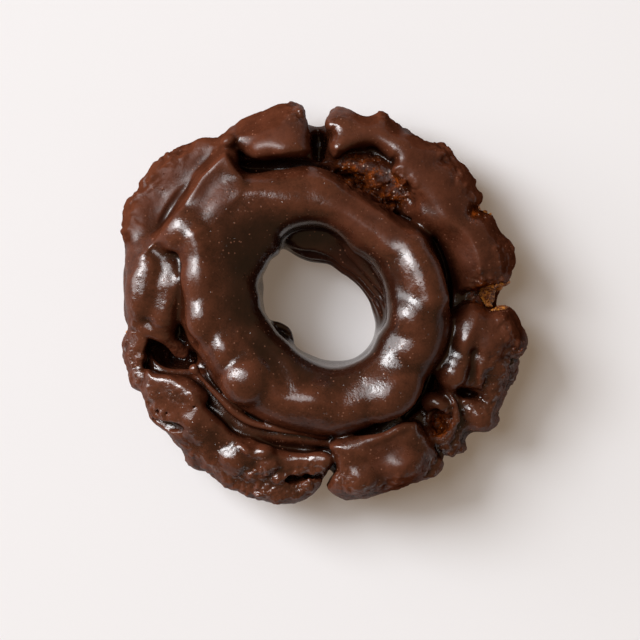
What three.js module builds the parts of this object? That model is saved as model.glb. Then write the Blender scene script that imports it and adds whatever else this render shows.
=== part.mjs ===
// An old-fashioned ring doughnut, in millimetres, +Z up, standing on z = 0 with its hole along Z.
//
// It is two pieces: the fried cake ring, whose top crust has split into a raised crown and a
// broken ring of plates with a trench between them, and the coat of chocolate glaze that was
// poured over the ring and has set. The glaze ends a little above the base, so the underside
// is bare cake.
//
// Both pieces are lofted through the same radial sections. Each section is one smooth curve
// from the outer edge of the flat base, up over the rim, the plates, the trench and the crown,
// and down the hole to the inner edge of the base. The guides below say how its points move
// around the ring.

import * as THREE from 'three';
import { LoftGeometry } from 'three/addons/geometries/LoftGeometry.js';

// Driving dimensions of the cake ring.
const BASE_INSET_OUTER = 11;       // the flat base starts this far inside the rim
const BASE_INSET_HOLE = 6;         // and ends this far outside the narrowest part of the hole
const GLAZE_THICKNESS = 1;
const GLAZE_GAP = 0.4;             // room left between the glaze and the cake

// How finely the sections are cut.
const STATIONS = 108;              // sections around the ring
const STEPS_PER_SPAN = 2;          // curve points between one guide point and the next
const BASE_STEPS = 2;              // points across the flat base
const GLAZE_ENDS = 1;              // curve points left bare at each end, next to the base

// Guides, each a list of [angle in degrees, radius, height] around the ring, counter-clockwise
// from +X. Between the angles a guide follows a smooth curve.

// Outer edge of the plates. The dips are the cracks that part one plate from the next.
const RIM = [
  [0, 41.1, 13.5], [8, 43.5, 13.5], [19, 44.8, 14], [27, 43, 14], [30.5, 40.4, 12],
  [35, 43.7, 14], [48, 45.1, 14.5], [57, 43.2, 14.5], [73, 45.2, 15], [84, 45.1, 15],
  [91.5, 40.7, 11], [99, 46.1, 14.5], [106, 47, 15], [115, 45.6, 14], [121, 44.9, 12.5],
  [130, 48.2, 12], [140, 50.1, 12.5], [148, 48.2, 12], [154, 49.2, 12.5], [164, 46.5, 13],
  [172, 45.1, 14], [180, 45.7, 14], [187, 44, 12], [194, 47, 13], [202, 47.7, 13],
  [206, 46.3, 13.5], [215, 47.2, 14], [230, 47.7, 13.5], [256, 47.4, 13], [264, 45.6, 12],
  [270, 40, 10], [275, 44.2, 12.5], [284, 45.6, 14], [303, 47.2, 13.5], [308, 43.9, 12],
  [313, 46.1, 13], [325, 47.5, 13], [336, 46.5, 13], [348, 47.7, 13.5], [354, 45.4, 13.5],
];

// Inner lip of the plates, their highest line.
const LIP = [
  [0, 34.4, 22], [18, 34.8, 23.5], [30, 33.8, 21.5], [45, 35.4, 24], [62, 35.4, 23.5],
  [78, 35.8, 24.5], [85, 36.6, 22.8], [92, 37.2, 20.5], [99, 37.2, 22.8], [108, 37.4, 25],
  [116, 38.8, 23.8], [126, 42.8, 20.5], [140, 46, 19.8], [155, 45.8, 19], [166, 42, 22],
  [178, 40.5, 24], [186, 40, 21.5], [193, 43, 19], [200, 42, 19.5], [207, 37.9, 23.5],
  [215, 36.8, 24.5], [230, 35.8, 23.5], [258, 34.9, 22], [270, 34.4, 19], [278, 34.4, 22.5],
  [290, 34.4, 24], [303, 34.9, 23], [309, 35.2, 20.5], [318, 35.8, 23], [345, 35.8, 23.5],
];

// Bottom of the trench between the plates and the crown.
const TRENCH = [
  [0, 31.3, 18], [20, 30.4, 18], [40, 28.8, 19], [55, 27.6, 18.5], [70, 29.2, 19],
  [85, 32.3, 18], [100, 33.3, 17.5], [111, 34.6, 17.5], [121, 37.6, 18], [131, 40.8, 17.8],
  [145, 42.4, 17], [155, 42.2, 17], [163, 38.4, 19], [172, 35.6, 20], [183, 34.6, 19.5],
  [195, 34.4, 16.5], [205, 33, 18.5], [220, 32.1, 19.5], [240, 30.9, 19.5], [280, 29.9, 19.5],
  [300, 30.4, 18.5], [315, 30.9, 17], [330, 32.1, 17], [345, 32.3, 17.5],
];

// Top line of the crown.
const CREST = [
  [0, 24.5, 29.5], [30, 24.2, 29], [55, 21.8, 28.5], [80, 23.1, 28.5], [105, 25.5, 28.5],
  [125, 27.8, 29], [145, 28.8, 29.5], [165, 26.8, 29.5], [185, 25.5, 30], [200, 24.5, 29.5],
  [215, 23.4, 30.5], [235, 23.1, 29.5], [255, 23.1, 29], [275, 24.2, 28.5], [300, 24, 29.5],
  [325, 24.2, 29], [345, 24, 30],
];

// Narrowest part of the hole.
const HOLE = [
  [0, 12.4, 11], [20, 11, 11], [40, 10, 10.5], [60, 9.8, 10.5], [80, 10.7, 10.5],
  [100, 11.6, 11], [113, 13.2, 11], [122, 15.6, 11.5], [132, 17.8, 12], [145, 18.1, 12],
  [160, 16, 11.5], [180, 15, 11], [205, 14, 10.5], [222, 13.1, 10.5], [240, 12.8, 10.5],
  [255, 13.6, 11], [270, 14.5, 11], [290, 15.7, 11], [310, 16.1, 11], [330, 15.7, 11],
  [345, 13.8, 11],
];

// A smooth closed curve through a guide's rows: angle in degrees to { radius, height }.
function aroundTheRing(rows) {
  const lastRows = rows.slice(-2).map(([angle, ...sizes]) => [angle - 360, ...sizes]);
  const firstRows = rows.slice(0, 2).map(([angle, ...sizes]) => [angle + 360, ...sizes]);
  const wrapped = [...lastRows, ...rows, ...firstRows];
  const angles = wrapped.map(([angle]) => angle);
  const sizes = wrapped.flatMap(([, radius, height]) => [radius, height]);
  const guide = new THREE.CubicInterpolant(angles, sizes, 2, new Float32Array(2));
  return (angle) => {
    const [radius, height] = guide.evaluate(angle);
    return { radius, height };
  };
}

const rimAt = aroundTheRing(RIM);
const lipAt = aroundTheRing(LIP);
const trenchAt = aroundTheRing(TRENCH);
const crestAt = aroundTheRing(CREST);
const holeAt = aroundTheRing(HOLE);

// The cake's surface in one radial plane, as a curve of (radius, 0, height) points from the
// outer edge of the base to its inner edge.
function sectionCurve(angle) {
  const rim = rimAt(angle);
  const lip = lipAt(angle);
  const trench = trenchAt(angle);
  const crest = crestAt(angle);
  const hole = holeAt(angle);
  const plateDrop = lip.height - rim.height;
  const crownRise = crest.height - trench.height;
  const crownRun = crest.radius - trench.radius;
  const innerRun = crest.radius - hole.radius;
  const guides = [
    [rim.radius - BASE_INSET_OUTER, 0],
    [rim.radius - 2.4, rim.height * 0.42],
    [rim.radius, rim.height],
    [THREE.MathUtils.lerp(rim.radius, lip.radius, 0.25), rim.height + plateDrop * 0.62],
    [lip.radius, lip.height],
    [trench.radius, trench.height],
    [trench.radius + crownRun * 0.3, trench.height + crownRise * 0.66],
    [crest.radius, crest.height],
    [hole.radius + innerRun * 0.42, crest.height - 5.5],
    [hole.radius, hole.height],
    [hole.radius + 1.7, hole.height * 0.4],
    [hole.radius + BASE_INSET_HOLE, 0],
  ];
  return new THREE.CatmullRomCurve3(
    guides.map(([radius, height]) => new THREE.Vector3(radius, 0, height)),
  );
}

// Points along a section curve, each with the way out of the cake there.
function sectionPoints(angle) {
  const curve = sectionCurve(angle);
  const count = (curve.points.length - 1) * STEPS_PER_SPAN;
  return Array.from({ length: count + 1 }, (_, i) => {
    const along = curve.getTangent(i / count);
    return {
      place: curve.getPoint(i / count),
      outward: new THREE.Vector3(along.z, 0, -along.x),
    };
  });
}

// A section's points moved out of the cake by a distance.
const grown = (points, distance) => (
  points.map(({ place, outward }) => place.clone().addScaledVector(outward, distance))
);

// The cake's closed section: the curve, then back across the flat base.
function cakeSection(angle) {
  const top = sectionPoints(angle).map(({ place }) => place);
  const inner = top.at(-1);
  const outer = top[0];
  const base = [];
  for (let i = 1; i <= BASE_STEPS; i++) {
    base.push(inner.clone().lerp(outer, i / (BASE_STEPS + 1)));
  }
  return [...top, ...base];
}

// The glaze's closed section: its outside, then back along its inside.
function glazeSection(angle) {
  const covered = sectionPoints(angle).slice(GLAZE_ENDS, -GLAZE_ENDS);
  const outside = grown(covered, GLAZE_GAP + GLAZE_THICKNESS);
  const inside = grown(covered, GLAZE_GAP);
  return [...outside, ...inside.reverse()];
}

// A closed ring lofted through one section at each station. The stations go clockwise, so that
// the faces point out.
function ringLoft(sectionAt) {
  const up = new THREE.Vector3(0, 0, 1);
  const sections = [];
  for (let station = STATIONS; station >= 0; station--) {
    const angle = (station % STATIONS) * 360 / STATIONS;
    const turn = THREE.MathUtils.degToRad(angle);
    sections.push(sectionAt(angle).map((point) => point.applyAxisAngle(up, turn)));
  }
  return new LoftGeometry(sections);
}

const cake = new THREE.Mesh(
  ringLoft(cakeSection),
  new THREE.MeshStandardMaterial({ color: '#b5793c', roughness: 0.85, metalness: 0 }),
);
cake.name = 'cake_ring';

const glaze = new THREE.Mesh(
  ringLoft(glazeSection),
  new THREE.MeshStandardMaterial({ color: '#3b1c12', roughness: 0.28, metalness: 0 }),
);
glaze.name = 'chocolate_glaze';

// The origin is under the middle of the whole doughnut's outline.
const doughnut = new THREE.Group().add(cake, glaze);
const middle = new THREE.Box3().setFromObject(doughnut).getCenter(new THREE.Vector3());
doughnut.position.set(-middle.x, -middle.y, 0);

export default doughnut;
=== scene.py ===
"""An old-fashioned ring doughnut under chocolate glaze, lying on a pale floor in soft light.

The doughnut is modelled like clay: a block of space holds, cube by cube, the distance to the
surface, and rings, plates, lumps, ropes and dents are blended into it one after another. The
glaze is a thin shell just under that surface, and the fried cake is what the shell covers. The
cake shows where the glaze is missing: in a few cracks and on the underside.

All clay work is in millimetres, about the middle of the doughnut's outline, with Z up from the
surface it stands on. The finished meshes are moved into the CAD model's box, in metres.
"""

import math

import bpy
import numpy as np
import openvdb as vdb
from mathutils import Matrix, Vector


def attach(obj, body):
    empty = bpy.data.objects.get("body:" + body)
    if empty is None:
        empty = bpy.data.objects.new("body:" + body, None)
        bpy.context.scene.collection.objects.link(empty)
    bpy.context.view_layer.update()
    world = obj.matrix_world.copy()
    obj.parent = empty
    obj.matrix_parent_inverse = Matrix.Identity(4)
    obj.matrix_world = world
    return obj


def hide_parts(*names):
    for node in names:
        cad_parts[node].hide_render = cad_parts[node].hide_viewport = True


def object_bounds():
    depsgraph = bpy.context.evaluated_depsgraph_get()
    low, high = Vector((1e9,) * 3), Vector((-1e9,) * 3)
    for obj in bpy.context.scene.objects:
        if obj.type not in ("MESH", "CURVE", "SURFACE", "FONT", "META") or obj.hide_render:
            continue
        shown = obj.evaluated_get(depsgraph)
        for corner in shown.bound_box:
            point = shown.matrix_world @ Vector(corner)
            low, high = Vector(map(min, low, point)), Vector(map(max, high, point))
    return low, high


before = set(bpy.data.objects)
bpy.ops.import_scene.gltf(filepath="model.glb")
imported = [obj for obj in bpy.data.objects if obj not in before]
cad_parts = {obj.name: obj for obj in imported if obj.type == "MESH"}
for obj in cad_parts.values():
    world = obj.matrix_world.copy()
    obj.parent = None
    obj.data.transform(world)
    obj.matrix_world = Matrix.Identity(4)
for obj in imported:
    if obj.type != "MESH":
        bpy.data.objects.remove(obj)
cad_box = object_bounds()

MM = 0.001
STEP = 0.36                      # edge of one cube of clay
CLAY_LOW = (-50.5, -50.5, -1.6)
CLAY_HIGH = (50.5, 50.5, 33.6)
RING_CENTRE = (-0.5, 0.1)        # what the guides' angles and radii are measured about


# ------------------------------------------------------------------ soft solids

def soft_min(a, b, blend):
    """The smaller of two distances, with the crease between them filled over a width."""
    if blend <= 0:
        return np.minimum(a, b)
    near = np.maximum(blend - np.abs(a - b), 0) / blend
    return np.minimum(a, b) - near * near * blend / 4


def soft_max(a, b, blend):
    """The larger of two distances, with the edge between them rounded over a width."""
    return -soft_min(-a, -b, blend)


def smoothstep(low, high, value):
    """0 at low, 1 at high, and smooth between. Low may be the larger."""
    t = np.clip((value - low) / (high - low), 0, 1)
    return t * t * (3 - 2 * t)


def smooth_path(points, closed=False, cuts=6):
    """Points along a smooth curve through the given ones (Catmull-Rom)."""
    points = np.array(points, float)
    if closed:
        ring = np.concatenate([points[-1:], points, points[:2]])
    else:
        before = 2 * points[:1] - points[1:2]
        after = 2 * points[-1:] - points[-2:-1]
        ring = np.concatenate([before, points, after])
    t = np.arange(cuts)[:, None] / cuts
    path = []
    for a, b, c, d in zip(ring, ring[1:], ring[2:], ring[3:]):
        path.append(b + t * (c - a) / 2 + t**2 * (a - 2.5 * b + 2 * c - d / 2)
                    + t**3 * (-a + 3 * b - 3 * c + d) / 2)
    path = np.concatenate(path)
    return path if closed else np.concatenate([path, points[-1:]])


def around(rows):
    """A smooth closed guide through rows of (angle, value, ...), as a function of the angle in
    degrees that gives one array for each value."""
    rows = np.array(rows, float)
    turn = np.array([360.0] + [0.0] * (rows.shape[1] - 1))
    wrapped = np.concatenate([rows[-2:] - turn, rows, rows[:2] + turn])
    angles, values = wrapped[:, 0], wrapped[:, 1:]
    slopes = (values[2:] - values[:-2]) / (angles[2:] - angles[:-2])[:, None]
    angles, values = angles[1:-1], values[1:-1]

    def guide(degrees):
        degrees = np.where(degrees < angles[0], degrees + 360, degrees)
        i = np.clip(np.searchsorted(angles, degrees, side="right") - 1, 0, len(angles) - 2)
        span = angles[i + 1] - angles[i]
        t = (degrees - angles[i]) / span
        t2, t3 = t * t, t * t * t
        result = []
        for k in range(values.shape[1]):
            v, s = values[:, k], slopes[:, k]
            result.append(((2 * t3 - 3 * t2 + 1) * v[i] + (t3 - 2 * t2 + t) * span * s[i]
                           + (3 * t2 - 2 * t3) * v[i + 1] + (t3 - t2) * span * s[i + 1])
                          .astype(np.float32))
        return result
    return guide


def ellipse_distance(x, y, z, rx, ry, rz):
    """About the distance to an ellipsoid's surface, negative inside."""
    scaled = np.sqrt((x / rx) ** 2 + (y / ry) ** 2 + (z / rz) ** 2)
    slope = np.sqrt((x / rx**2) ** 2 + (y / ry**2) ** 2 + (z / rz**2) ** 2)
    return scaled * (scaled - 1) / np.maximum(slope, 1e-4)


def outline_distance(x, y, path):
    """The distance to a closed outline in plan, negative inside."""
    best = np.full(np.broadcast(x, y).shape, 1e9, np.float32)
    inside = np.zeros(best.shape, bool)
    for (ax, ay), (bx, by) in zip(path, np.roll(path, -1, axis=0)):
        ux, uy = bx - ax, by - ay
        t = np.clip(((x - ax) * ux + (y - ay) * uy) / max(ux * ux + uy * uy, 1e-9), 0, 1)
        best = np.minimum(best, (x - ax - t * ux) ** 2 + (y - ay - t * uy) ** 2)
        if ay != by:
            crosses = (y > min(ay, by)) & (y <= max(ay, by)) & (x < ax + (y - ay) * ux / uy)
            inside ^= crosses
    return np.where(inside, -1, 1) * np.sqrt(best)


class Clay:
    """A block of space cut into small cubes, each holding its distance to the surface."""

    def __init__(self, low, high, step):
        self.step = step
        self.axes = [np.arange(a, b, step, dtype=np.float32) for a, b in zip(low, high)]
        self.x = self.axes[0][:, None, None]
        self.y = self.axes[1][None, :, None]
        self.z = self.axes[2][None, None, :]
        across = self.x - RING_CENTRE[0]
        along = self.y - RING_CENTRE[1]
        self.radius = np.hypot(across, along)
        self.angle = np.degrees(np.arctan2(along, across)) % 360
        self.field = np.full([len(axis) for axis in self.axes], 9, np.float32)

    def window(self, low, high):
        """The part of the block between two corners, and its coordinates."""
        part = []
        for axis, a, b in zip(self.axes, low, high):
            first = int(np.clip((a - axis[0]) / self.step, 0, len(axis) - 2))
            last = int(np.clip((b - axis[0]) / self.step + 2, first + 1, len(axis)))
            part.append(slice(first, last))
        part = tuple(part)
        return part, self.x[part[0]], self.y[:, part[1]], self.z[:, :, part[2]]

    def blend_in(self, part, distance, blend, cut=False):
        """Adds a solid to part of the block, or with cut takes it away."""
        if cut:
            self.field[part] = soft_max(self.field[part], -distance, blend)
        else:
            self.field[part] = soft_min(self.field[part], distance, blend)

    def ball(self, place, size, turn=0, blend=2.0, cut=False):
        """A lump, or with cut a dent: place and size are each (x, y, z), turn is about Z."""
        reach = max(size) + blend + 2
        part, x, y, z = self.window([p - reach for p in place], [p + reach for p in place])
        x, y, z = x - place[0], y - place[1], z - place[2]
        c, s = math.cos(math.radians(turn)), math.sin(math.radians(turn))
        distance = ellipse_distance(x * c + y * s, y * c - x * s, z, *size)
        self.blend_in(part, distance, blend, cut)

    def rope(self, points, radii, blend=1.5, cut=False, squash=1.0):
        """A rope of clay through (x, y, z) points, with a radius at each. Squash makes it
        taller than it is wide."""
        radii = np.broadcast_to(radii, len(points))
        path = smooth_path([(*p, r) for p, r in zip(points, radii)], cuts=4)
        reach = path[:, 3].max() * max(squash, 1) + blend + 2
        part, x, y, z = self.window(path[:, :3].min(0) - reach, path[:, :3].max(0) + reach)
        best = None
        for (ax, ay, az, ar), (bx, by, bz, br) in zip(path, path[1:]):
            ux, uy, uz = bx - ax, by - ay, bz - az
            t = ((x - ax) * ux + (y - ay) * uy + (z - az) * uz) / (ux * ux + uy * uy + uz * uz)
            t = np.clip(t, 0, 1)
            d = np.sqrt((x - ax - t * ux) ** 2 + (y - ay - t * uy) ** 2
                        + ((z - az - t * uz) / squash) ** 2) - (ar + (br - ar) * t)
            best = d if best is None else np.minimum(best, d)
        self.blend_in(part, best.astype(np.float32), blend, cut)


def lattice_noise(clay, size, seed):
    """Smooth noise over the block, about -1 to 1, with lumps of a size in millimetres."""
    rng = np.random.default_rng(seed)
    spreads, counts = [], []
    for axis in clay.axes:
        place = (axis - axis[0]) / size
        count = int(place[-1]) + 4
        first = place.astype(int)
        t = place - first
        weights = np.zeros((len(axis), count), np.float32)
        rows = np.arange(len(axis))
        weights[rows, first] = (1 - t) ** 3 / 6
        weights[rows, first + 1] = (3 * t**3 - 6 * t**2 + 4) / 6
        weights[rows, first + 2] = (-3 * t**3 + 3 * t**2 + 3 * t + 1) / 6
        weights[rows, first + 3] = t**3 / 6
        spreads.append(weights)
        counts.append(count)
    knots = rng.uniform(-1, 1, counts).astype(np.float32)
    knots = np.tensordot(spreads[0], knots, (1, 0))
    knots = np.tensordot(knots, spreads[1], (1, 1)).transpose(0, 2, 1)
    return np.tensordot(knots, spreads[2], (2, 1)) * 2.2


def blurred(field, reach):
    """A field averaged with its neighbours, over a few cubes each way."""
    offsets = np.arange(-math.ceil(2 * reach), math.ceil(2 * reach) + 1)
    weights = np.exp(-0.5 * (offsets / reach) ** 2)
    weights /= weights.sum()
    for axis in range(3):
        padded = np.concatenate([np.take(field, [0] * (len(offsets) // 2), axis), field,
                                 np.take(field, [-1] * (len(offsets) // 2), axis)], axis)
        total = np.zeros_like(field)
        for i, weight in enumerate(weights):
            total += np.float32(weight) * np.take(padded, range(i, i + field.shape[axis]), axis)
        field = total
    return field


# ------------------------------------------------------------------ the doughnut's shape

# The lower ring: [angle, radius of its outer edge].
LOWER_RIM = [
    [0, 40.8], [8, 42.7], [19, 43.2], [30, 39.4], [40, 42.6], [48, 43.2], [60, 41.8], [74, 43.4],
    [84, 42.8], [91, 41.6], [98, 43.8], [106, 45.4], [115, 43.8], [121, 43.4], [130, 46.8],
    [140, 49], [148, 47.2], [154, 48], [164, 45], [174, 44.2], [181, 44.4], [187, 43.2],
    [194, 45.2], [202, 46], [206, 45.2], [215, 45.8], [230, 46.2], [250, 45.6], [262, 44],
    [269, 38.6], [272, 38.8], [279, 43.4], [290, 44.8], [303, 45.8], [308, 42.8], [314, 44.6],
    [325, 46.2], [336, 45.2], [348, 46], [354, 43.4],
]

# The hole at its narrowest: [angle, radius].
HOLE = [
    [0, 11.1], [20, 9.7], [40, 8.8], [60, 8.5], [80, 9.4], [100, 10.1], [110, 11.0], [118, 12.7],
    [125, 15.8], [132, 17.3], [142, 17.2], [155, 15.6], [165, 14.2], [180, 13.7], [200, 13.0],
    [212, 11.3], [225, 10.5], [240, 11.6], [260, 12.5], [280, 13.9], [300, 14.8], [320, 14.8],
    [335, 13.7], [350, 11.9],
]

# The crown: [angle, radius of its top line, run down to the trench, run down to the hole,
# height of its top line].
CROWN = [
    [0, 23.6, 6.1, 9.0, 29.2], [20, 23.1, 6.1, 8.5, 28.4], [35, 22.0, 6.4, 7.5, 27.4],
    [50, 20.6, 6.0, 6.4, 27.0], [60, 20.4, 6.2, 6.2, 27.0], [75, 22.0, 6.8, 6.2, 27.2],
    [90, 23.8, 8.2, 6.4, 27.6], [105, 25.0, 8.0, 6.8, 27.6], [114, 27.0, 6.8, 8.8, 27.6],
    [122, 29.4, 6.4, 12.0, 27.4], [130, 31.2, 6.2, 15.7, 27.4], [140, 32.4, 6.2, 16.7, 27.6],
    [150, 32.0, 6.2, 16.7, 28.0], [158, 30.4, 6.2, 15.1, 28.6], [165, 29.0, 6.4, 13.9, 29.2],
    [175, 28.2, 5.9, 14.1, 29.5], [185, 27.6, 6.2, 13.9, 29.6], [195, 26.0, 7.0, 13.1, 29.4],
    [205, 23.8, 7.8, 11.6, 29.5], [215, 23.6, 8.0, 11.6, 29.5], [230, 22.9, 8.5, 11.2, 29.2],
    [250, 23.1, 7.8, 10.5, 29], [265, 23.8, 6.8, 10.2, 28.5], [280, 24.3, 6.8, 9.7, 29],
    [300, 23.8, 7.1, 8.6, 29.5], [315, 23.6, 7.1, 8.3, 29], [330, 23.3, 7.5, 8.8, 29],
    [345, 23.1, 7.5, 8.0, 30],
]
CROWN_DEPTH = 8.5                # its top rounds over within this
CROWN_WALL = 7                   # and its sides fall straight for this

# The dome that the plates are cut from: [angle, radius and height of its lip, radius and
# height of its rim].
DOME = [
    [0, 37, 21.5, 46.5, 17], [22, 38, 21.5, 46.5, 17], [36, 35, 23, 46.5, 17.5],
    [60, 35, 24, 47, 18], [85, 36, 24.5, 47, 18.5], [105, 36, 25.5, 49, 18],
    [118, 38, 23, 48.5, 17.4], [128, 41, 18.6, 50.5, 16.8], [140, 43, 18.2, 52.5, 16.8],
    [155, 43, 18.4, 52, 16.6], [166, 41, 22, 49.5, 17], [178, 40, 23, 49, 17],
    [190, 42, 21, 49.5, 17], [203, 40, 22, 50, 17], [215, 37, 23.5, 49.5, 17.5],
    [235, 36, 22.8, 49.5, 17], [258, 35, 22.2, 49, 17], [275, 34, 23, 48, 17],
    [290, 34, 24, 49, 17.5], [305, 35, 23, 49.5, 17], [325, 36, 22, 49.5, 17],
    [345, 35, 23.4, 49.5, 17.5],
]

# The plates that the top crust split into, counter-clockwise from the right: outline in plan,
# how far each stands above the dome, and how round its edges are.
PLATES = {
    "right": (
        [(35.6, 21.9), (39.6, 20.6), (42.0, 16.8), (44.0, 13.8), (44.6, 10.7), (43.6, 7.2),
         (42.9, 4.8), (40.6, 4.4), (37.6, 3.8), (34.4, 3.2), (31.6, 2.5), (30.1, 4.4),
         (29.2, 8.4), (27.8, 12.1), (26.6, 15.0), (25.0, 17.8), (25.6, 21.0), (28.4, 23.2),
         (32.6, 23.4)],
        0.2, 2.8),
    "upper_right": (
        [(15.5, 39.6), (20.7, 39.0), (24.5, 37.4), (28.0, 36.9), (29.9, 34.5), (32.8, 32.4),
         (34.8, 30.1), (36.0, 26.5), (36.8, 24.9), (35.8, 22.7), (32.5, 20.3), (28.9, 20.3),
         (26.3, 22.0), (24.2, 23.6), (22.1, 25.2), (19.6, 27.2), (17.0, 29.6), (15.8, 31.5),
         (16.3, 34.1)],
        0.2, 2.2),
    "top_right": (
        [(0.6, 43.0), (1.6, 45.1), (3.3, 46.2), (6.1, 46.0), (9.9, 44.8), (12.0, 44.8),
         (13.2, 45.2), (14.4, 44.6), (15.8, 43.0), (19.1, 40.7), (23.6, 37.5), (24.6, 34.7),
         (20.7, 33.3), (17.9, 33.7), (15.6, 33.6), (14.1, 34.8), (11.8, 36.5), (9.0, 36.2),
         (5.7, 35.0), (3.3, 33.6), (1.6, 34.2), (0.6, 36.9), (1.4, 39.5), (0.6, 41.1)],
        0.2, 2.4),
    "top": (
        [(-25.2, 38.6), (-21.7, 41.8), (-16.0, 45.0), (-12.0, 46.9), (-8.2, 47.4), (-5.2, 46.1),
         (-4.4, 43.5), (-3.5, 40.7), (-3.1, 38.1), (-3.0, 35.5), (-4.6, 33.9), (-8.0, 33.5),
         (-11.5, 33.4), (-15.6, 33.1), (-18.1, 34.2), (-19.8, 35.5), (-22.2, 36.4), (-24.7, 36.9)],
        0.9, 3.2),
    "upper_left": (
        [(-22.0, 38.0), (-28.0, 39.4), (-31.6, 38.3), (-35.1, 36.4), (-38.7, 34.0),
         (-41.0, 32.1), (-43.1, 29.1), (-43.1, 26.8), (-45.7, 23.2), (-46.6, 20.9),
         (-46.6, 15.0), (-46.6, 9.8), (-45.0, 6.7), (-38.4, 7.8), (-34.5, 12.8), (-31.5, 17.5),
         (-27.9, 23.4), (-24.2, 28.1), (-20.4, 32.4), (-20.0, 35.7)],
        0.2, 2.2),
    "left": (
        [(-46.9, 8.8), (-43.4, 11.6), (-39.8, 13.0), (-37.5, 11.8), (-35.8, 10.7), (-34.6, 6.7),
         (-34.6, 0.8), (-35.1, -3.4), (-35.8, -6.9), (-38.7, -6.9), (-41.7, -5.3), (-44.5, -4.6),
         (-46.4, -4.4), (-47.5, -0.4), (-47.5, 4.4)],
        -3.6, 2.2),
    "left_knob": (
        [(-47.3, -8.6), (-45.7, -6.3), (-42.9, -5.7), (-41.4, -7.0), (-40.7, -9.1), (-41.4, -12.1),
         (-42.3, -15.2), (-42.9, -19.2), (-43.3, -20.8), (-45.7, -18.7), (-46.0, -14.3),
         (-47.3, -11.9)],
        -1.4, 1.6),
    "left_low": (
        [(-41.7, -15.6), (-38.7, -16.1), (-34.4, -16.8), (-31.6, -17.2), (-29.6, -18.8),
         (-28.6, -20.9), (-27.5, -24.4), (-25.0, -28.6), (-28.0, -32.3), (-32.8, -33.2),
         (-36.6, -31.0), (-40.1, -28.1), (-41.4, -25.5), (-42.2, -22.9), (-42.7, -19.9)],
        0.4, 1.8),
    "lower_left": (
        [(-24.1, -27.4), (-19.8, -31.2), (-15.8, -32.4), (-11.3, -34.0), (-5.2, -35.2),
         (0.2, -35.4), (1.4, -37.0), (0.4, -39.2), (-0.7, -41.1), (-1.6, -43.7), (-4.5, -46.2),
         (-8.2, -47.2), (-12.0, -47.2), (-16.0, -45.8), (-21.9, -43.2), (-27.1, -40.2),
         (-31.6, -37.6), (-33.8, -34.5), (-36.1, -31.4), (-38.0, -29.0), (-36.3, -25.3),
         (-31.6, -24.3), (-27.3, -24.6)],
        -0.6, 1.8),
    "bottom": (
        [(21.7, -28.0), (24.7, -31.8), (27.0, -35.7), (27.7, -37.9), (26.4, -40.4),
         (21.2, -42.4), (16.0, -44.3), (9.0, -45.9), (4.2, -45.8), (1.2, -43.5), (2.1, -41.1),
         (3.8, -39.2), (3.3, -35.7), (1.7, -33.2), (4.9, -31.8), (9.2, -32.2), (12.7, -31.4),
         (15.1, -30.4), (18.6, -28.6)],
        0.2, 2.2),
    "lower_right": (
        [(45.0, -13.1), (44.3, -17.3), (43.1, -19.9), (41.2, -21.8), (40.8, -26.5),
         (38.7, -29.2), (35.6, -30.4), (33.7, -31.7), (32.8, -34.7), (27.5, -35.2),
         (25.2, -32.2), (24.4, -28.4), (25.8, -23.9), (27.4, -19.2), (30.0, -13.3),
         (33.2, -10.4), (41.5, -10.4)],
        -3.2, 1.8),
    "right_low": (
        [(38.9, -1.6), (41.7, -0.9), (44.1, -1.2), (45.9, -4.4), (47.7, -7.9), (47.3, -11.2),
         (45.3, -12.4), (42.7, -11.8), (39.1, -11.3), (36.3, -10.8), (33.2, -11.4),
         (30.9, -10.0), (29.7, -6.2), (29.7, -3.0), (31.4, -0.7), (34.4, 0.3), (36.8, -0.6)],
        0.6, 3.0),
}
PLATE_DEPTH = 12
TUCK_HEIGHT = 13                 # below this the plates' outer sides turn in
TUCK = 9                         # by this much at the floor
DOME_ROUNDNESS = 1.35            # how gently the dome starts to fall from its lip
DOME_INNER_FALL = 5              # how far it falls from its lip towards the trench


def lower_ring(clay):
    """The ring of dough under the crust: flat underneath, round at its sides."""
    rim, = around(LOWER_RIM)(clay.angle)
    hole, = around(HOLE)(clay.angle)
    half_height, corner = 7.8, 7.4
    middle, half_width = (rim + hole) / 2, (rim - hole) / 2
    across = np.abs(clay.radius - middle) - half_width + corner
    up = np.abs(clay.z - half_height) - half_height + corner
    outside = np.hypot(np.maximum(across, 0), np.maximum(up, 0))
    inside = np.minimum(np.maximum(across, up), 0)
    clay.field = np.minimum(clay.field, outside + inside - corner).astype(np.float32)


def crown(clay):
    """The raised inner ring, steeper towards the trench than towards the hole."""
    top, outer_run, inner_run, height = around(CROWN)(clay.angle)
    across = clay.radius - top
    run = np.where(across > 0, outer_run, inner_run)
    up = clay.z - height + CROWN_DEPTH
    up = np.where(up < 0, np.minimum(up + CROWN_WALL, 0), up)
    distance = ellipse_distance(across, 0, up, run, 1, CROWN_DEPTH)
    clay.field = soft_min(clay.field, distance.astype(np.float32), 2.0)


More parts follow.
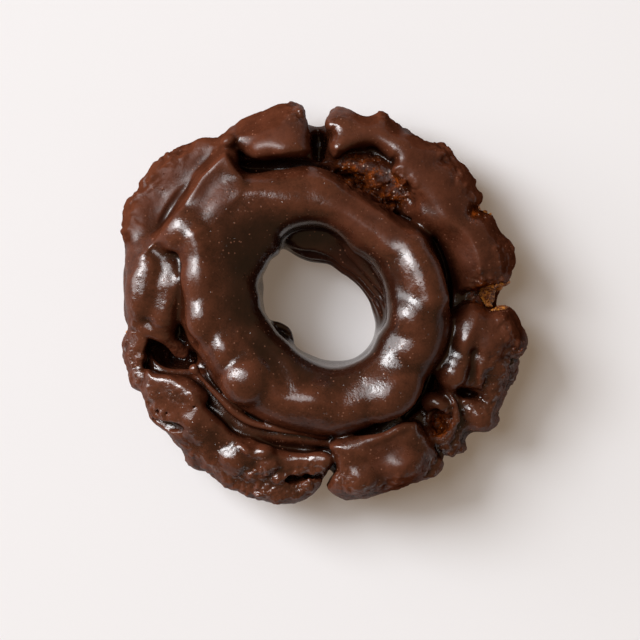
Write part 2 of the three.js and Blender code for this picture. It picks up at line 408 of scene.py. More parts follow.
def plates(clay):
    """The broken ring of crust around the crown."""
    lip_radius, lip_height, rim_radius, rim_height = around(DOME)(clay.angle)
    out = np.clip((clay.radius - lip_radius) / (rim_radius - lip_radius), -1, 1)
    dome = lip_height - (lip_height - rim_height) * np.maximum(out, 0) ** DOME_ROUNDNESS
    dome = dome - np.maximum(-out, 0) * DOME_INNER_FALL
    steep_x, steep_y = np.gradient(dome[:, :, 0], clay.step)
    level = (1 / np.sqrt(1 + np.minimum(steep_x**2 + steep_y**2, 9)))[:, :, None]
    for outline, rise, roundness in PLATES.values():
        path = smooth_path(outline, closed=True, cuts=4)
        low = [*(path.min(0) - 4), 0]
        high = [*(path.max(0) + 4), CLAY_HIGH[2]]
        part, x, y, z = clay.window(low, high)
        flat = part[:2]
        side = outline_distance(x, y, path)
        tuck = TUCK * np.maximum(1 - z / TUCK_HEIGHT, 0) ** 2
        above = (z - dome[flat] - rise) * level[flat]
        below = dome[flat] + rise - PLATE_DEPTH - z
        distance = soft_max(soft_max(side + tuck, above, roundness * 1.6), below, 4)
        clay.blend_in(part, distance.astype(np.float32), 1.2)


def crown_lumps(clay):
    """Lumps and folds of the crown, clockwise from the upper right."""
    clay.rope([(20.0, 12.4, 24.0), (22.5, 7.6, 25.2), (24.4, 0.8, 26.0)], [4.3, 4.7, 4.7], 1.8)
    clay.ball((21.0, -3.4, 24.2), (6, 5.6, 6.2), blend=1.6)
    clay.ball((20.4, -11, 23.8), (5.8, 5.2, 5.8), blend=1.2)
    clay.ball((15.6, -20.4, 24.2), (9, 6.6, 6.2), turn=42, blend=1.0)
    clay.ball((-2.0, -22.6, 24), (9.6, 5.4, 5.6), turn=-4, blend=1.2)
    clay.ball((-18.2, -17.6, 24.8), (6.8, 6.8, 6.8), blend=1.0)
    clay.ball((-23.4, -11.0, 24.4), (4.4, 4.8, 5.4), blend=1.6)
    clay.ball((-28.2, -3.6, 24), (5.2, 6.8, 6.2), turn=-14, blend=1.4)
    clay.ball((-28.4, 5.8, 24), (4.8, 7.2, 6.0), turn=8, blend=1.8)
    clay.ball((-32.6, 17.2, 21.6), (7.5, 4.6, 6.4), turn=54, blend=2.4)
    clay.ball((-29.6, 13.6, 23.2), (4.6, 4.6, 5.6), turn=40, blend=2.0)
    clay.rope([(-17.9, 29.9, 28.6), (-16.2, 25.4, 28.9), (-14.9, 21.0, 28)], 0.5, 0.8, cut=True)
    clay.rope([(-17.4, -7.4, 29.4), (-13.2, -11.2, 29), (-10.2, -14.6, 29.4), (-8.6, -19.4, 31.2)],
              [1.0, 1.5, 1.9, 2.2], 1.8, cut=True)
    clay.rope([(17.6, 14.6, 29.4), (20.6, 16.2, 29), (25.4, 14.6, 28)], [0.8, 1.4, 1.6], 0.8,
              cut=True)


def skirt(clay, outline, height, at_radius, fall, blend):
    """A shelf on the crown's outer side: it falls gently outwards to a sharp edge. Height, at
    one radius, and fall, how steep it is, are each a map over the block's plan."""
    path = smooth_path(outline, closed=True, cuts=4)
    part, x, y, z = clay.window([*(path.min(0) - 4), 10], [*(path.max(0) + 4), CLAY_HIGH[2]])
    side = outline_distance(x, y, path)
    lean = side + 0.2 * np.maximum(z - 18, 0)
    above = (z - height[part[:2]] - fall[part[:2]] * (at_radius - clay.radius[part[:2]])
             + 0.09 * np.maximum(-side, 0))
    distance = soft_max(soft_max(lean, 0.95 * above, 0.9), 15 - z, 3)
    clay.blend_in(part, distance.astype(np.float32), blend)


def crown_skirts(clay):
    """The sharp wing at the upper left, over a low plate, and the shoulder at the upper right."""
    everywhere = np.ones_like(clay.radius)
    wing_height = 26.2 - 2.2 * smoothstep(146, 160, clay.angle)
    wing_fall = 0.02 + 0.43 * smoothstep(144, 153, clay.angle)
    skirt(clay, [(-20.2, 33.0), (-21.6, 35.2), (-23.3, 36.0), (-26.0, 34.1), (-29.1, 31.3),
                 (-31.0, 28.7), (-32.9, 25.6), (-35.4, 22.4), (-38.3, 18.3), (-40.8, 14.8),
                 (-43.3, 11.4), (-42.0, 10.6), (-38.6, 13.2), (-34, 13.5), (-28, 15), (-20, 23),
                 (-17.5, 29)], wing_height, 42, wing_fall, 2.2)
    skirt(clay, [(0.2, 30.0), (6.1, 27.0), (9.4, 25.4), (14.4, 21.6), (18.4, 18.9), (24.0, 15.4),
                 (22, 12), (16, 11), (10, 16), (4, 20), (-4, 22), (-5, 29)],
          25.6 * everywhere, 26, 0.16 * everywhere, 2.0)


def left_folds(clay):
    """Two rolls between the left plate and the crown, with a tongue and a cavity below them."""
    clay.rope([(-41.2, 11.2, 19.0), (-41.2, 7.0, 19.4), (-42.2, 1.6, 18.8), (-42.9, -2.8, 17.6)],
              [3.0, 4.5, 4.7, 3.4], 3.0)
    clay.rope([(-36.8, 13.4, 20.0), (-35.8, 8.0, 20.4), (-36.4, 2.6, 20.2), (-37.2, -2.6, 19.6),
               (-37.2, -6.6, 18.2)], [3.4, 3.0, 3.4, 3.9, 3.0], 2.2)
    clay.rope([(-40.6, 12.8, 24.4), (-37.6, 11.2, 24), (-34.4, 10.6, 23.6), (-33.8, 7.6, 24.6)],
              [0.2, 0.3, 0.5, 0.4], 1.6, cut=True)
    clay.rope([(-33.8, 8.6, 25.6), (-33.8, 1.2, 25.2), (-33.8, -5.2, 24.6), (-31.4, -9.8, 24)],
              [0.5, 0.8, 1.0, 1.3], 1.1, cut=True, squash=1.8)
    clay.rope([(-39.6, -10.8, 16), (-36.4, -12.4, 15), (-32.4, -13.2, 15.5)], [2.2, 2.5, 2.2],
              1.0, cut=True, squash=3)
    clay.rope([(-42.4, -4.8, 18), (-40.2, -6.2, 18.8), (-37.2, -8.0, 18.6), (-33.2, -11.4, 15.6)],
              [1.8, 2.1, 2.1, 1.7], 1.0)


def trenches(clay):
    """Where the gap between plates and crown runs deeper, and the thin folds along it."""
    clay.rope([(-20.4, 32.8, 16.5), (-17.5, 31.9, 15.5), (-11.5, 31.7, 15), (-3.2, 31.9, 15.5),
               (0.6, 31.2, 16)], [1.2, 1.7, 1.8, 1.4, 0.8], 0.8, cut=True, squash=2.2)
    clay.rope([(-1.7, 42.4, 14), (-1.0, 38.4, 14), (-1.2, 34.6, 15)], [1.5, 1.7, 1.2], 0.8,
              cut=True, squash=2.4)
    clay.rope([(3.4, 30.4, 15.5), (8.2, 28.2, 14.5), (12.4, 25.0, 14.5), (16.4, 21.8, 15),
               (20.4, 19.6, 15.5), (24.0, 17.0, 15.5), (26.6, 13.6, 15.5), (28.6, 8.4, 15),
               (29.3, 2.2, 15), (28.8, -3.6, 14.5), (27.7, -9.6, 14.5), (25.6, -16, 14.5),
               (22.8, -22.4, 15), (19.2, -26.6, 15.5)],
              [0.8, 1.2, 1.3, 1.2, 0.9, 0.8, 0.8, 0.8, 1.0, 1.2, 1.3, 1.2, 1.1, 0.7], 0.8,
              cut=True, squash=2.4)
    clay.rope([(-28.8, -18.0, 15.4), (-25.0, -23.4, 15.4), (-21.0, -27.4, 15.4),
               (-15.8, -29.9, 15.6), (-9.9, -31.0, 15.8), (0.2, -32.0, 16)],
              [2.6, 2.9, 2.7, 2.4, 2.0, 1.5], 1.5)
    clay.rope([(-30.4, -15.2, 21.4), (-29.0, -17.0, 21), (-26.2, -20.2, 20.8),
               (-23.1, -23.2, 20.4), (-19.8, -26.1, 20), (-15.8, -28.3, 20), (-9.9, -29.6, 20),
               (0.2, -30.6, 19)], [1.5, 0.9, 0.9, 1.1, 1.1, 1.0, 0.9, 0.8], 0.9)


def crumb_slope(clay):
    """The torn crumb between the upper right plates and the trench."""
    clay.rope([(2.6, 33.6, 14.8), (8.0, 32.6, 15.4), (13.4, 30.2, 15.6), (17.6, 26.0, 15.4),
               (20.6, 23.2, 15.4)], [2.2, 3.0, 3.4, 3.0, 2.0], 1.2)
    clay.ball((24.6, 21.6, 18), (3.6, 3.2, 3.6), turn=-40, blend=3)


def lower_right_lobes(clay):
    """The torn lobes under the lower right plates."""
    clay.rope([(34.6, -7.0, 17.0), (33.0, -12.0, 17.4), (31.4, -16.8, 18.0)], [3.6, 4.4, 5.5], 3.0)
    clay.rope([(36.8, -11.6, 20.4), (36.4, -16.2, 20.6), (36.8, -20.4, 18.6)], [1.2, 1.3, 1.0], 1.4)
    clay.rope([(38.6, -10.6, 19.4), (40.2, -15.4, 18.4), (39.4, -20.4, 16.4)], [2.0, 2.0, 1.8], 3.4)
    clay.rope([(35.4, -11.8, 22), (35.0, -15.4, 21.6), (34.6, -19.4, 21)], [0.2, 0.3, 0.4], 2.4,
              cut=True)
    clay.ball((26.8, -23.6, 16.8), (4.8, 3.4, 4.4), turn=-20, blend=1.4)
    clay.rope([(28.8, -20.8, 18.8), (30.5, -22.8, 19.6), (31.1, -26.8, 18.8), (29.2, -31.6, 16)],
              [0.8, 1.1, 1.2, 0.9], 1.2)
    clay.ball((36.4, -26.0, 14.6), (5.0, 4.4, 4.0), turn=-40, blend=2.0)
    clay.ball((34.4, -21.4, 18.6), (2.8, 1.2, 5), turn=-14, blend=1.4, cut=True)
    clay.ball((26.6, -28.6, 19.6), (2.0, 3.3, 5.6), turn=10, blend=1.2, cut=True)


def right_notch(clay):
    """The torn gap in the rim between the two right plates."""
    clay.ball((45.4, 2.6, 17), (3.6, 2.6, 9), blend=1, cut=True)
    clay.ball((39.8, 2.2, 22), (4.4, 1.5, 3.6), turn=-12, blend=1, cut=True)


def lower_plates_details(clay):
    """Small bumps and tears on the plates at the bottom."""
    clay.ball((-18.8, -34.6, 20.4), (2.8, 1.7, 2.4), turn=-25, blend=1)
    clay.rope([(-20.4, -33.2, 22.8), (-19.6, -35.4, 22.4), (-17, -36.6, 22)], 0.9, 0.8, cut=True)
    clay.ball((-13.9, -34.8, 20.6), (2.4, 1.8, 2.2), blend=1.2)
    clay.ball((-12.6, -37.6, 19.8), (2.6, 2, 2.2), blend=1.2)
    clay.ball((-10.6, -40.2, 18), (1.8, 1.6, 2), blend=1.2)
    clay.ball((-21.5, -36.5, 18.6), (3.6, 2.6, 3), turn=-30, blend=2)
    clay.ball((-31.0, -21.0, 20.6), (4.4, 2.4, 3), turn=-20, blend=1.5)
    clay.ball((-30.6, -27.5, 20.4), (2.6, 2.4, 2.6), blend=1.5)
    clay.rope([(-38.6, -25.4, 19.5), (-34.0, -25.0, 20.5), (-30.4, -24.0, 22)], 0.7, 1, cut=True)
    clay.rope([(-39.4, -26.8, 17.5), (-36.4, -28.6, 19), (-33.6, -29.4, 20.6)], [1.0, 1.3, 0.7],
              0.8, cut=True)
    clay.rope([(-8.7, -41.3, 17.5), (-5.7, -41.0, 17), (-1.4, -40.2, 17)], [0.9, 1.4, 1.5], 0.8,
              cut=True, squash=2.6)
    clay.rope([(-20, -45.2, 12), (-13.0, -46.4, 12.4), (-6.0, -45.6, 12.4)], [0.6, 0.9, 0.7],
              0.8, cut=True)
    clay.ball((8.8, -41.2, 19.4), (4.2, 3.4, 3.4), blend=2.4)
    clay.ball((18.4, -37.6, 20.6), (5, 3.8, 3.4), turn=20, blend=2.4)
    clay.rope([(4.2, -33.4, 21.4), (8.8, -32.2, 22.4), (13.6, -31.2, 23), (18.4, -28.8, 22.6),
               (21.0, -28.6, 21.6)], [0.9, 1.1, 1.2, 1.2, 0.9], 1.2)
    clay.rope([(5.2, -35.6, 22), (5.8, -34.2, 22.4), (7.8, -33.9, 22.6), (9.6, -34.6, 22.4),
               (9.9, -35.6, 22)], [0.3, 0.6, 0.5, 0.7, 0.4], 0.8)
    clay.rope([(6.4, -36.2, 21.8), (8.4, -36.6, 21.8), (10.2, -36.3, 21.6)], [0.3, 0.6, 0.3], 0.8)


def small_details(clay):
    """A knob on the top plate's left end, and the drop that hangs in the hole."""
    clay.ball((-22.4, 38.2, 20.4), (2.4, 1.8, 2.4), turn=20, blend=1)
    clay.rope([(-13.4, -5.2, 11.8), (-10.6, -5.3, 11.2), (-8.5, -6.5, 10.6), (-7.4, -8.8, 9.6)],
              [1.4, 1.2, 1.1, 0.7], 0.8)


# Where the crust is torn and rough: (x, y, radius, how rough).
ROUGH_SPOTS = [
    (-40.5, 29, 4, 1.2), (-46, 20, 4, 0.5), (35, 30, 5, 1.3), (30, 36, 4, 1.2), (38, 24, 4, 1.3),
    (44, 12, 4, 1.2), (45, -5, 5, 1.2), (41, -15, 5, 0.9),
    (39, -24, 8, 1.0), (31, -30, 6, 1.1), (-39.6, -27, 4, 1.1), (-33.4, -35, 4.5, 1.1),
    (-14, -45, 8, 1.1), (-4, -43, 6, 1.2), (-44, -13, 4, 0.9), (4, -44, 4, 0.8),
    (9, 31, 5, 2.6), (17, 26, 4.5, 2.6), (26.5, -28.5, 4, 1.6), (2, 40, 3, 0.6),
    (-34, -12.5, 4, 0.8), (-33, -21, 4, 0.4), (-20, -37, 6, 0.4), (38, 3, 5, 1.0),
]

# Where the glaze is missing and the cake shows: (x, y, z, radius).
BARE_SPOTS = [
    (36.9, 21.6, 12, 2.4), (40.8, 2.1, 15.0, 4.3), (-46.2, -6.0, 13, 1.5),
    (41.5, -12.8, 9, 2.0),
]

# Where the glaze is thin over open crumb: (x, y, radius).
THIN_SPOTS = [
    (6.5, 31.6, 3.4), (11, 30.2, 4), (16, 26.4, 3.6), (27, -29, 3), (38, 1.8, 3.4), (36, 21.4, 2),
]

# Where the glaze is dull: (x, y, radius, how dull).
DULL_SPOTS = [
    (-38, 31.5, 5.5, 1.0), (-31.5, 34, 4, 1.0), (-41, 25, 4, 1.0), (-45.5, 20.5, 5, 1.0),
    (-26, 36, 5, 0.8), (38, 13, 8, 0.6), (30, 26, 7, 0.7), (24, 33, 7, 0.7), (40, -6, 7, 0.5),
    (12, 41, 6, 0.5), (8, 22, 6, 0.6), (16, 18, 5, 0.6), (5, 9.5, 4.5, 0.8), (-13, 41, 7, 0.7),
    (16, -38, 6, 0.5), (-30, 8, 6, 0.2), (-26.4, 25.6, 4.5, 0.8), (-34.6, 25.0, 2.6, 1.0),
    (-30.4, 29.6, 2.6, 1.0), (-38.4, 20.0, 2.2, 0.9),
]


def spots(clay, places, edge):
    """A mask over the block that is 1 within each spot and fades out over its edge. A place
    is (x, y, size, strength), for a spot through the whole height, or has a z before the size."""
    mask = np.zeros_like(clay.field)
    for *centre, size, strength in places:
        reach = size + edge
        low = [*(c - reach for c in centre), CLAY_LOW[2]][:3]
        high = [*(c + reach for c in centre), CLAY_HIGH[2]][:3]
        part, *place = clay.window(low, high)
        away = np.sqrt(sum((p - c) ** 2 for p, c in zip(place, centre)))
        mask[part] = np.maximum(mask[part], strength * smoothstep(size + edge, size - edge, away))
    return mask


def roughen(clay):
    """Breaks up the surface: hardly at all on the crown, more on the plates, and most where
    the crust is torn. Returns how rough it is everywhere."""
    waves = lattice_noise(clay, 11.0, 5)
    swell = lattice_noise(clay, 5.4, 1)
    lumps = lattice_noise(clay, 2.6, 2)
    grain = lattice_noise(clay, 1.3, 3)
    crumbs = lattice_noise(clay, 0.85, 4)
    outward = smoothstep(31, 37, clay.radius)
    # The rim at the left and upper left is whole, so it stays smooth.
    smooth_rim = np.exp(-((clay.angle - 157) / 27) ** 4)
    edge = smoothstep(42, 47.5, clay.radius + 1.5 * swell - 4 * smooth_rim)
    rough = np.maximum(spots(clay, ROUGH_SPOTS, 2.5), edge * 1.1) * (0.75 + 0.5 * swell)
    rough = np.clip(rough, 0, 2.4)
    clay.field -= 0.5 * waves + 0.24 * swell * (1 + 1.3 * outward) + 0.13 * lumps * (1 + outward)
    clay.field -= rough * (0.26 * lumps + 0.38 * grain + 0.42 * np.abs(crumbs))
    clay.field -= np.maximum(rough - 1.4, 0) * (0.9 * grain + 0.5 * lumps)
    # Fine level ridges on the wall of the hole at the upper right.
    wall = smoothstep(16, 13, clay.radius) * smoothstep(0, 0.5, np.cos(np.radians(clay.angle - 65)))
    clay.field -= 0.26 * wall * np.sin(2 * math.pi * (clay.z + 2.2 * swell) / 2.1)
    return rough


def sculpt():
    """Builds the visible surface: the clay, and how rough it is everywhere."""
    clay = Clay(CLAY_LOW, CLAY_HIGH, STEP)
    lower_ring(clay)
    plates(clay)
    crown(clay)
    crown_skirts(clay)
    crown_lumps(clay)
    left_folds(clay)
    crumb_slope(clay)
    trenches(clay)
    lower_right_lobes(clay)
    right_notch(clay)
    lower_plates_details(clay)
    small_details(clay)
    rough = roughen(clay)
    clay.field = soft_max(clay.field, -clay.z, 0.8)
    return clay, rough


# ------------------------------------------------------------------ meshes

def sample(clay, field, points):
    """A field's values at points, from the eight cubes around each."""
    origin = np.array([axis[0] for axis in clay.axes])
    place = (points - origin) / clay.step
    place = np.clip(place, 0, np.array(field.shape) - 1.001)
    i = place.astype(int)
    t = place - i
    value = 0
    for corner in range(8):
        bits = [(corner >> axis) & 1 for axis in range(3)]
        weight = np.prod([t[:, axis] if bit else 1 - t[:, axis]
                          for axis, bit in enumerate(bits)], axis=0)
        value = value + weight * field[i[:, 0] + bits[0], i[:, 1] + bits[1], i[:, 2] + bits[2]]
    return value


def skin(clay, field):
    """The surface where a field is nought, as points in millimetres and four-cornered faces."""
    grid = vdb.FloatGrid()
    grid.copyFromArray(np.ascontiguousarray(field, dtype=np.float32))
    points, quads = grid.convertToQuads(isovalue=0.0)
    points = points * clay.step + np.array([axis[0] for axis in clay.axes])
    outward = quads[:, ::-1]
    return points, outward


def piece(name, clay, field, layers, material):
    """A mesh of the surface where a field is nought, with each layer's values on its points."""
    points, faces = skin(clay, field)
    mesh = bpy.data.meshes.new(name)
    centre = [(cad_box[0][i] + cad_box[1][i]) / 2 for i in (0, 1)]
    shift = np.array([centre[0], centre[1], cad_box[0][2]])
    mesh.vertices.add(len(points))
    mesh.vertices.foreach_set("co", (points * MM + shift).astype(np.float32).ravel())
    mesh.loops.add(faces.size)
    mesh.loops.foreach_set("vertex_index", faces.astype(np.int32).ravel())
    mesh.polygons.add(len(faces))
    mesh.polygons.foreach_set("loop_start", np.arange(0, faces.size, 4, dtype=np.int32))
    mesh.update(calc_edges=True)
    mesh.validate()
    for layer, values in layers.items():
        attribute = mesh.attributes.new(layer, "FLOAT", "POINT")
        attribute.data.foreach_set("value", sample(clay, values, points).astype(np.float32))
    mesh.shade_smooth()
    mesh.materials.append(material)
    made = bpy.data.objects.new(name, mesh)
    bpy.context.scene.collection.objects.link(made)
    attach(made, "root")
    return made


# ------------------------------------------------------------------ materials

class Value:
    """A shader socket that takes part in Python sums. Each sum adds its Math node."""

    def __init__(self, recipe, socket):
        self.recipe, self.socket = recipe, socket

    def math(self, operation, *others):
        return self.recipe.node("ShaderNodeMath", {"operation": operation}, dict(enumerate(others)))

    def __add__(self, other):
        return self.math("ADD", self, other)

    def __sub__(self, other):
        return self.math("SUBTRACT", self, other)

    def __mul__(self, other):
        return self.math("MULTIPLY", self, other)

    def __rsub__(self, other):
        return self.math("SUBTRACT", other, self)

    __radd__ = __add__
    __rmul__ = __mul__

    def clipped(self):
        return self.recipe.node("ShaderNodeClamp", {}, {"Value": self})

    def ramp(self, low, high):
        """0 below low, 1 above high, and smooth between."""
        return self.recipe.node("ShaderNodeMapRange", {"interpolation_type": "SMOOTHSTEP"},
                                {"Value": self, "From Min": low, "From Max": high})


class Nodes:
    """A node tree that is written as sums."""

    def __init__(self, tree):
        self.tree = tree

    def node(self, kind, settings=None, sockets=None, output=0):
        """One output of a new node of a type, with its settings, then the values or links of
        its sockets."""
        made = self.tree.nodes.new(kind)
        for setting, value in (settings or {}).items():
            setattr(made, setting, value)
        for socket, value in (sockets or {}).items():
            self.feed(made.inputs[socket], value)
        return Value(self, made.outputs[output])

    def feed(self, socket, value):
        """Links a value to a socket, or sets a plain number or colour on it."""
        if isinstance(value, Value):
            self.tree.links.new(value.socket, socket)
        else:
            socket.default_value = value

    def mix(self, mask, a, b):
        """Colour a where the mask is 0, b where it is 1."""
        colours = [c if isinstance(c, Value) else (*c, 1) for c in (a, b)]
        factor, colour_a, colour_b, colour_out = 0, 6, 7, 2
        return self.node("ShaderNodeMix", {"data_type": "RGBA"},
                         {factor: mask, colour_a: colours[0], colour_b: colours[1]}, colour_out)


class Recipe(Nodes):
    """One material: its nodes, and the Principled shader that they feed."""

    def __init__(self, name):
        self.material = bpy.data.materials.new(name)
        self.material.use_nodes = True
        super().__init__(self.material.node_tree)
        self.shader = self.tree.nodes["Principled BSDF"]
        self.place = self.node("ShaderNodeTexCoord", output="Object")

    def set(self, **sockets):
        """Feeds the Principled shader's sockets, each named with _ for a space."""
        for name, value in sockets.items():
            self.feed(self.shader.inputs[name.replace("_", " ")], value)

    def layer(self, name):
        """A value that the mesh carries on its points."""
        return self.node("ShaderNodeAttribute", {"attribute_name": name}, output="Fac")

    def noise(self, size, detail=2.0, roughness=0.5):
        """Noise from 0 to 1 whose lumps are about a size in millimetres."""
        return self.node("ShaderNodeTexNoise", {},
                         {"Vector": self.place, "Scale": 1 / (size * MM), "Detail": detail,
                          "Roughness": roughness})

    def cells(self, size, output="Distance"):
        """Cells of about a size in millimetres: the distance to each one's middle, or its own
        random Color."""
        return self.node("ShaderNodeTexVoronoi", {},
                         {"Vector": self.place, "Scale": 1 / (size * MM)}, output)

    def matte(self, mask, colour, normal):
        """Takes the shine off where the mask is 1."""
        plain = self.node("ShaderNodeBsdfPrincipled", {},
                          {"Base Color": colour, "Normal": normal, "Roughness": 0.8,
                           "Specular IOR Level": 0.0})
        glossy = Value(self, self.shader.outputs[0])
        mixed = self.node("ShaderNodeMixShader", {}, {0: mask, 1: glossy, 2: plain})
        self.feed(self.tree.nodes["Material Output"].inputs["Surface"], mixed)

    def bump(self, height):
        """Tilts the surface by a height in millimetres."""
        return self.node("ShaderNodeBump", {}, {"Height": height * MM, "Distance": 1.0})


def glaze_material():
    """Set chocolate glaze: dark and glossy, redder where it is thin, duller where it is rough."""
    recipe = Recipe("chocolate_glaze")
    ridge = recipe.layer("ridge")
    rough = recipe.layer("rough").clipped()
    thin = recipe.layer("thin").clipped()
    dull = recipe.layer("dull").clipped()
    inner_slope_shade = recipe.layer("inner_slope_shade").clipped()
    steep = recipe.layer("steep").clipped()
    patches = recipe.noise(6, 4, 0.6)
    fine = recipe.noise(1.2, 3, 0.6)
    grain = recipe.noise(0.45, 2, 0.6)

    # Brown where the coat is worn thin; lighter on ridges, darker in hollows: part wear, part
    # painted shade.
    wear_and_painted_shade = (ridge * 0.9 + patches * 1.3 + fine * 0.6 + grain * 0.5 - 1.17).ramp(-0.35, 0.5)
    colour = recipe.mix(wear_and_painted_shade, (0.032, 0.0080, 0.0032), (0.092, 0.0262, 0.0124))
    colour = recipe.mix(rough * 0.6 * patches, colour, (0.098, 0.028, 0.0125))
    # Paler where the glaze is dull: painted sheen standing in for the shine that the matte mix
    # takes off.
    colour = recipe.mix(dull * 0.4, colour, (0.112, 0.035, 0.018))
    # Painted shade: nearly black in creases.
    colour = recipe.mix(ridge.ramp(-0.08, -0.7) * 0.8, colour, (0.012, 0.0034, 0.0015))
    # Painted shade: nearly black on the crown's inner slope down into the hole.
    colour = recipe.mix(inner_slope_shade * 0.72, colour, (0.010, 0.0030, 0.0014))

    # Open crumb soaked with glaze: dark red, with orange clumps and small painted wet glints.
    crumbs = recipe.noise(0.7, 4, 0.75)
    clumps = recipe.noise(2.6, 2).ramp(0.40, 0.62)
    colour = recipe.mix(thin * 0.9, colour, (0.042, 0.0085, 0.0020))
    colour = recipe.mix(thin * clumps * crumbs.ramp(0.36, 0.68) * 0.85, colour,
                        (0.34, 0.070, 0.008))
    painted_glints = recipe.cells(0.75).ramp(0.30, 0.16) * recipe.cells(0.75, "Color").ramp(0.66, 0.72)
    colour = recipe.mix(thin * painted_glints * 0.8, colour, (0.75, 0.52, 0.40))

    # Small pale specks in clusters, and pits where the crust is torn.
    clusters = recipe.noise(5, 2).ramp(0.42, 0.62)
    specks = recipe.cells(0.9).ramp(0.28, 0.12) * recipe.cells(0.9, "Color").ramp(0.58, 0.72)
    specks = specks * (0.25 + clusters * 0.75)
    colour = recipe.mix(specks * 0.7, colour, (0.28, 0.120, 0.075))
    pits = recipe.cells(1.7).ramp(0.16, 0.06) * recipe.cells(1.7, "Color").ramp(0.45, 0.5)
    # Painted shade: the pits are darkened.
    colour = recipe.mix(rough * pits * 0.4, colour, (0.010, 0.0030, 0.0014))

    crust = recipe.noise(2.6, 1, 0.5) * 0.8 + recipe.noise(1.2, 1.5, 0.5) * 0.35
    height = (fine * 0.08 + grain * 0.034 + specks * 0.03 - pits * 0.08
              + rough * crust * (1 - dull * 0.6) * (1 - thin) + thin * crumbs * 0.6)
    normal = recipe.bump(height)
    recipe.set(Base_Color=colour, Normal=normal,
               Roughness=0.14 + dull * 0.24 + rough * 0.03 + grain * 0.08 - thin * 0.06)
    recipe.matte((dull * 0.86 + steep * 0.74 + thin * 0.5).clipped(), colour, normal)
    recipe.shader.inputs["IOR"].default_value = 1.68
    return recipe.material


def cake_material():
    """Fried dough: a golden-brown crust, and paler, more orange crumb where it is torn."""
    recipe = Recipe("fried_cake")
    patches = recipe.noise(9, 3)
    fine = recipe.noise(1.0, 4, 0.65)
    pores = recipe.cells(0.8).ramp(0.1, 0.5)
    crumb = recipe.layer("crumb").clipped()
    colour = recipe.mix(patches.ramp(0.35, 0.65), (0.36, 0.135, 0.030), (0.50, 0.22, 0.055))
    colour = recipe.mix(crumb, colour, (0.66, 0.24, 0.032))
    colour = recipe.mix(fine.ramp(0.60, 0.44) * 0.9, colour, (0.17, 0.040, 0.006))
    recipe.set(Base_Color=colour, Roughness=0.75 - crumb * 0.25,
               Normal=recipe.bump(fine * 0.6 + pores * 0.3))
    return recipe.material


# ------------------------------------------------------------------ the two pieces

GLAZE_THICKNESS = 1.0
GLAZE_GAP = 0.4                  # room left between the glaze and the cake
GLAZE_HEM = 3.0                  # how far above the floor the glaze ends


def doughnut():
    """Makes the glaze and the cake from the one sculpted surface."""
    clay, rough = sculpt()
    surface = clay.field
    waves = lattice_noise(clay, 4.0, 7)
    hem = smoothstep(0.9, -0.9, clay.z - GLAZE_HEM + 0.9 * waves)
    # The bare spots have ragged edges, with some bits of glaze left in them.
    torn = spots(clay, [(*spot, 1.0) for spot in BARE_SPOTS], 1.6)
    torn = smoothstep(0.35, 0.65, torn * (1 + 0.6 * lattice_noise(clay, 1.8, 9)))
    bare = np.maximum(torn, hem)
    crumb = spots(clay, [(*spot[:3], spot[3] + 1, 1.0) for spot in BARE_SPOTS], 0.8)
    thin = spots(clay, [(*spot, 1.0) for spot in THIN_SPOTS], 1.5)
    ridge = np.clip((blurred(surface, 3.0) - surface) * 1.6, -1, 1)
    cake = surface + GLAZE_THICKNESS * (1 - bare)
    cake = cake - crumb * (0.9 * np.abs(lattice_noise(clay, 1.0, 8)) - 0.3)
    cake = soft_max(cake, -clay.z, 0.4)
    outside = surface + (GLAZE_THICKNESS + GLAZE_GAP) * bare
    inside = -(cake + GLAZE_GAP)
    coat = np.maximum(outside, inside)
    dull = spots(clay, DULL_SPOTS, 3.0)
    top, *_ = around(CROWN)(clay.angle)
    # Painted shade on the crown's inner slope, darker towards the hole.
    inner_slope_shade = smoothstep(1.5, 8, top + waves - clay.radius) + np.zeros_like(surface)
    slopes = np.gradient(surface)
    level = slopes[2] / (np.sqrt(sum(slope**2 for slope in slopes)) + 1e-6)
    steep = smoothstep(0.84, 0.66, level) * smoothstep(-1, 1, clay.radius - top)
    glaze_layers = {"ridge": ridge, "rough": rough, "thin": thin, "dull": dull, "inner_slope_shade": inner_slope_shade,
                    "steep": steep}
    glaze = piece("glaze_coat", clay, coat, glaze_layers, glaze_material())
    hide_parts("chocolate_glaze")
    fried = piece("fried_ring", clay, cake, {"crumb": crumb}, cake_material())
    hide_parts("cake_ring")


# ------------------------------------------------------------------ stage, light and camera

FLOOR_REACH = 6
LIGHT_DISTANCE = 4.0
WINDOW_COLOUR = (0.97, 0.98, 1)
SENSOR_WIDTH = 36                # in millimetres, like the lens
CAMERA_HEIGHT = 1.0
CAMERA_PLACE = (-0.00094, -0.0039)
VIEW_WIDTH = 0.1509              # what the camera sees across, at the height of the rim
RIM_HEIGHT = 0.014


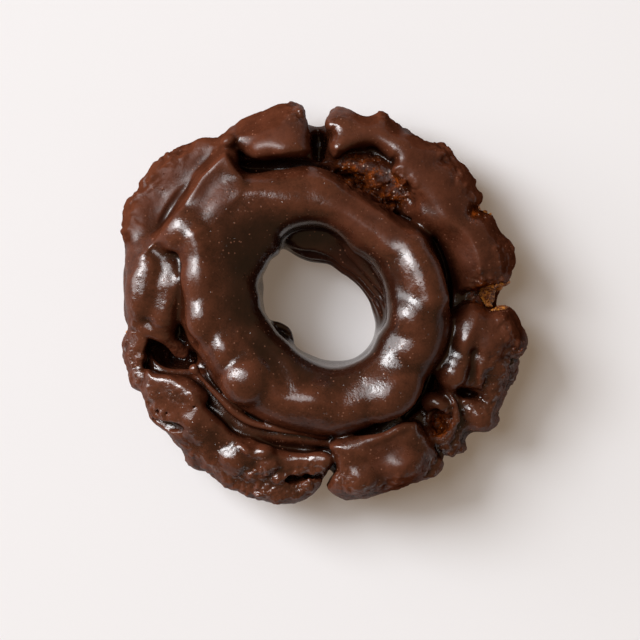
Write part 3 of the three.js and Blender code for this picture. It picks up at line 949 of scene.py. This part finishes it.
def stage():
    """A plain pale floor."""
    mesh = bpy.data.meshes.new("floor")
    corners = [(-1, -1), (1, -1), (1, 1), (-1, 1)]
    mesh.from_pydata([(x * FLOOR_REACH, y * FLOOR_REACH, 0) for x, y in corners], [],
                     [(0, 1, 2, 3)])
    floor = bpy.data.objects.new("floor", mesh)
    bpy.context.scene.collection.objects.link(floor)
    paper = Recipe("pale_paper")
    paper.shader.inputs["Base Color"].default_value = (0.690, 0.704, 0.735, 1)
    paper.shader.inputs["Roughness"].default_value = 0.9
    paper.shader.inputs["Specular IOR Level"].default_value = 0.2
    paper.shader.inputs["Emission Color"].default_value = (0.135, 0.103, 0.078, 1)
    paper.shader.inputs["Emission Strength"].default_value = 1
    mesh.materials.append(paper.material)


def softbox(name, way, size, power):
    """A round light that faces the doughnut from a direction (azimuth, elevation). Size is how
    wide it looks from there, in degrees, and power is in watts."""
    azimuth, elevation = (math.radians(angle) for angle in way)
    place = Vector((math.cos(azimuth) * math.cos(elevation),
                    math.sin(azimuth) * math.cos(elevation), math.sin(elevation))) * LIGHT_DISTANCE
    light = bpy.data.lights.new(name, "AREA")
    light.shape = "DISK"
    light.size = 2 * LIGHT_DISTANCE * math.tan(math.radians(size / 2))
    light.energy = power
    light.color = WINDOW_COLOUR
    lamp = bpy.data.objects.new(name, light)
    lamp.location = place
    lamp.rotation_euler = (-place).to_track_quat("-Z", "Y").to_euler()
    bpy.context.scene.collection.objects.link(lamp)


def lights():
    """A tall window of soft light at the upper left, in a dim warm room that looks pale."""
    softbox("window_middle", (150, 42), 29, 137)
    softbox("window_top", (150, 64), 34, 52)
    softbox("window_foot", (162, 22), 40, 84)
    world = bpy.data.worlds.new("room")
    world.use_nodes = True
    room = Nodes(world.node_tree)
    seen = room.node("ShaderNodeLightPath", output="Is Camera Ray")
    room.feed(world.node_tree.nodes["Background"].inputs["Color"],
              room.mix(seen, (0.150, 0.105, 0.060), (0.88, 0.86, 0.85)))
    bpy.context.scene.world = world


def camera():
    """Straight above, with the doughnut a little above the middle of its view."""
    view = bpy.data.cameras.new("camera")
    view.sensor_width = SENSOR_WIDTH
    view.lens = SENSOR_WIDTH * (CAMERA_HEIGHT - RIM_HEIGHT) / VIEW_WIDTH
    overhead = bpy.data.objects.new("camera", view)
    overhead.location = (*CAMERA_PLACE, CAMERA_HEIGHT)
    bpy.context.scene.collection.objects.link(overhead)
    bpy.context.scene.camera = overhead


doughnut()
stage()
lights()
camera()
bpy.context.scene.view_settings.view_transform = "Standard"
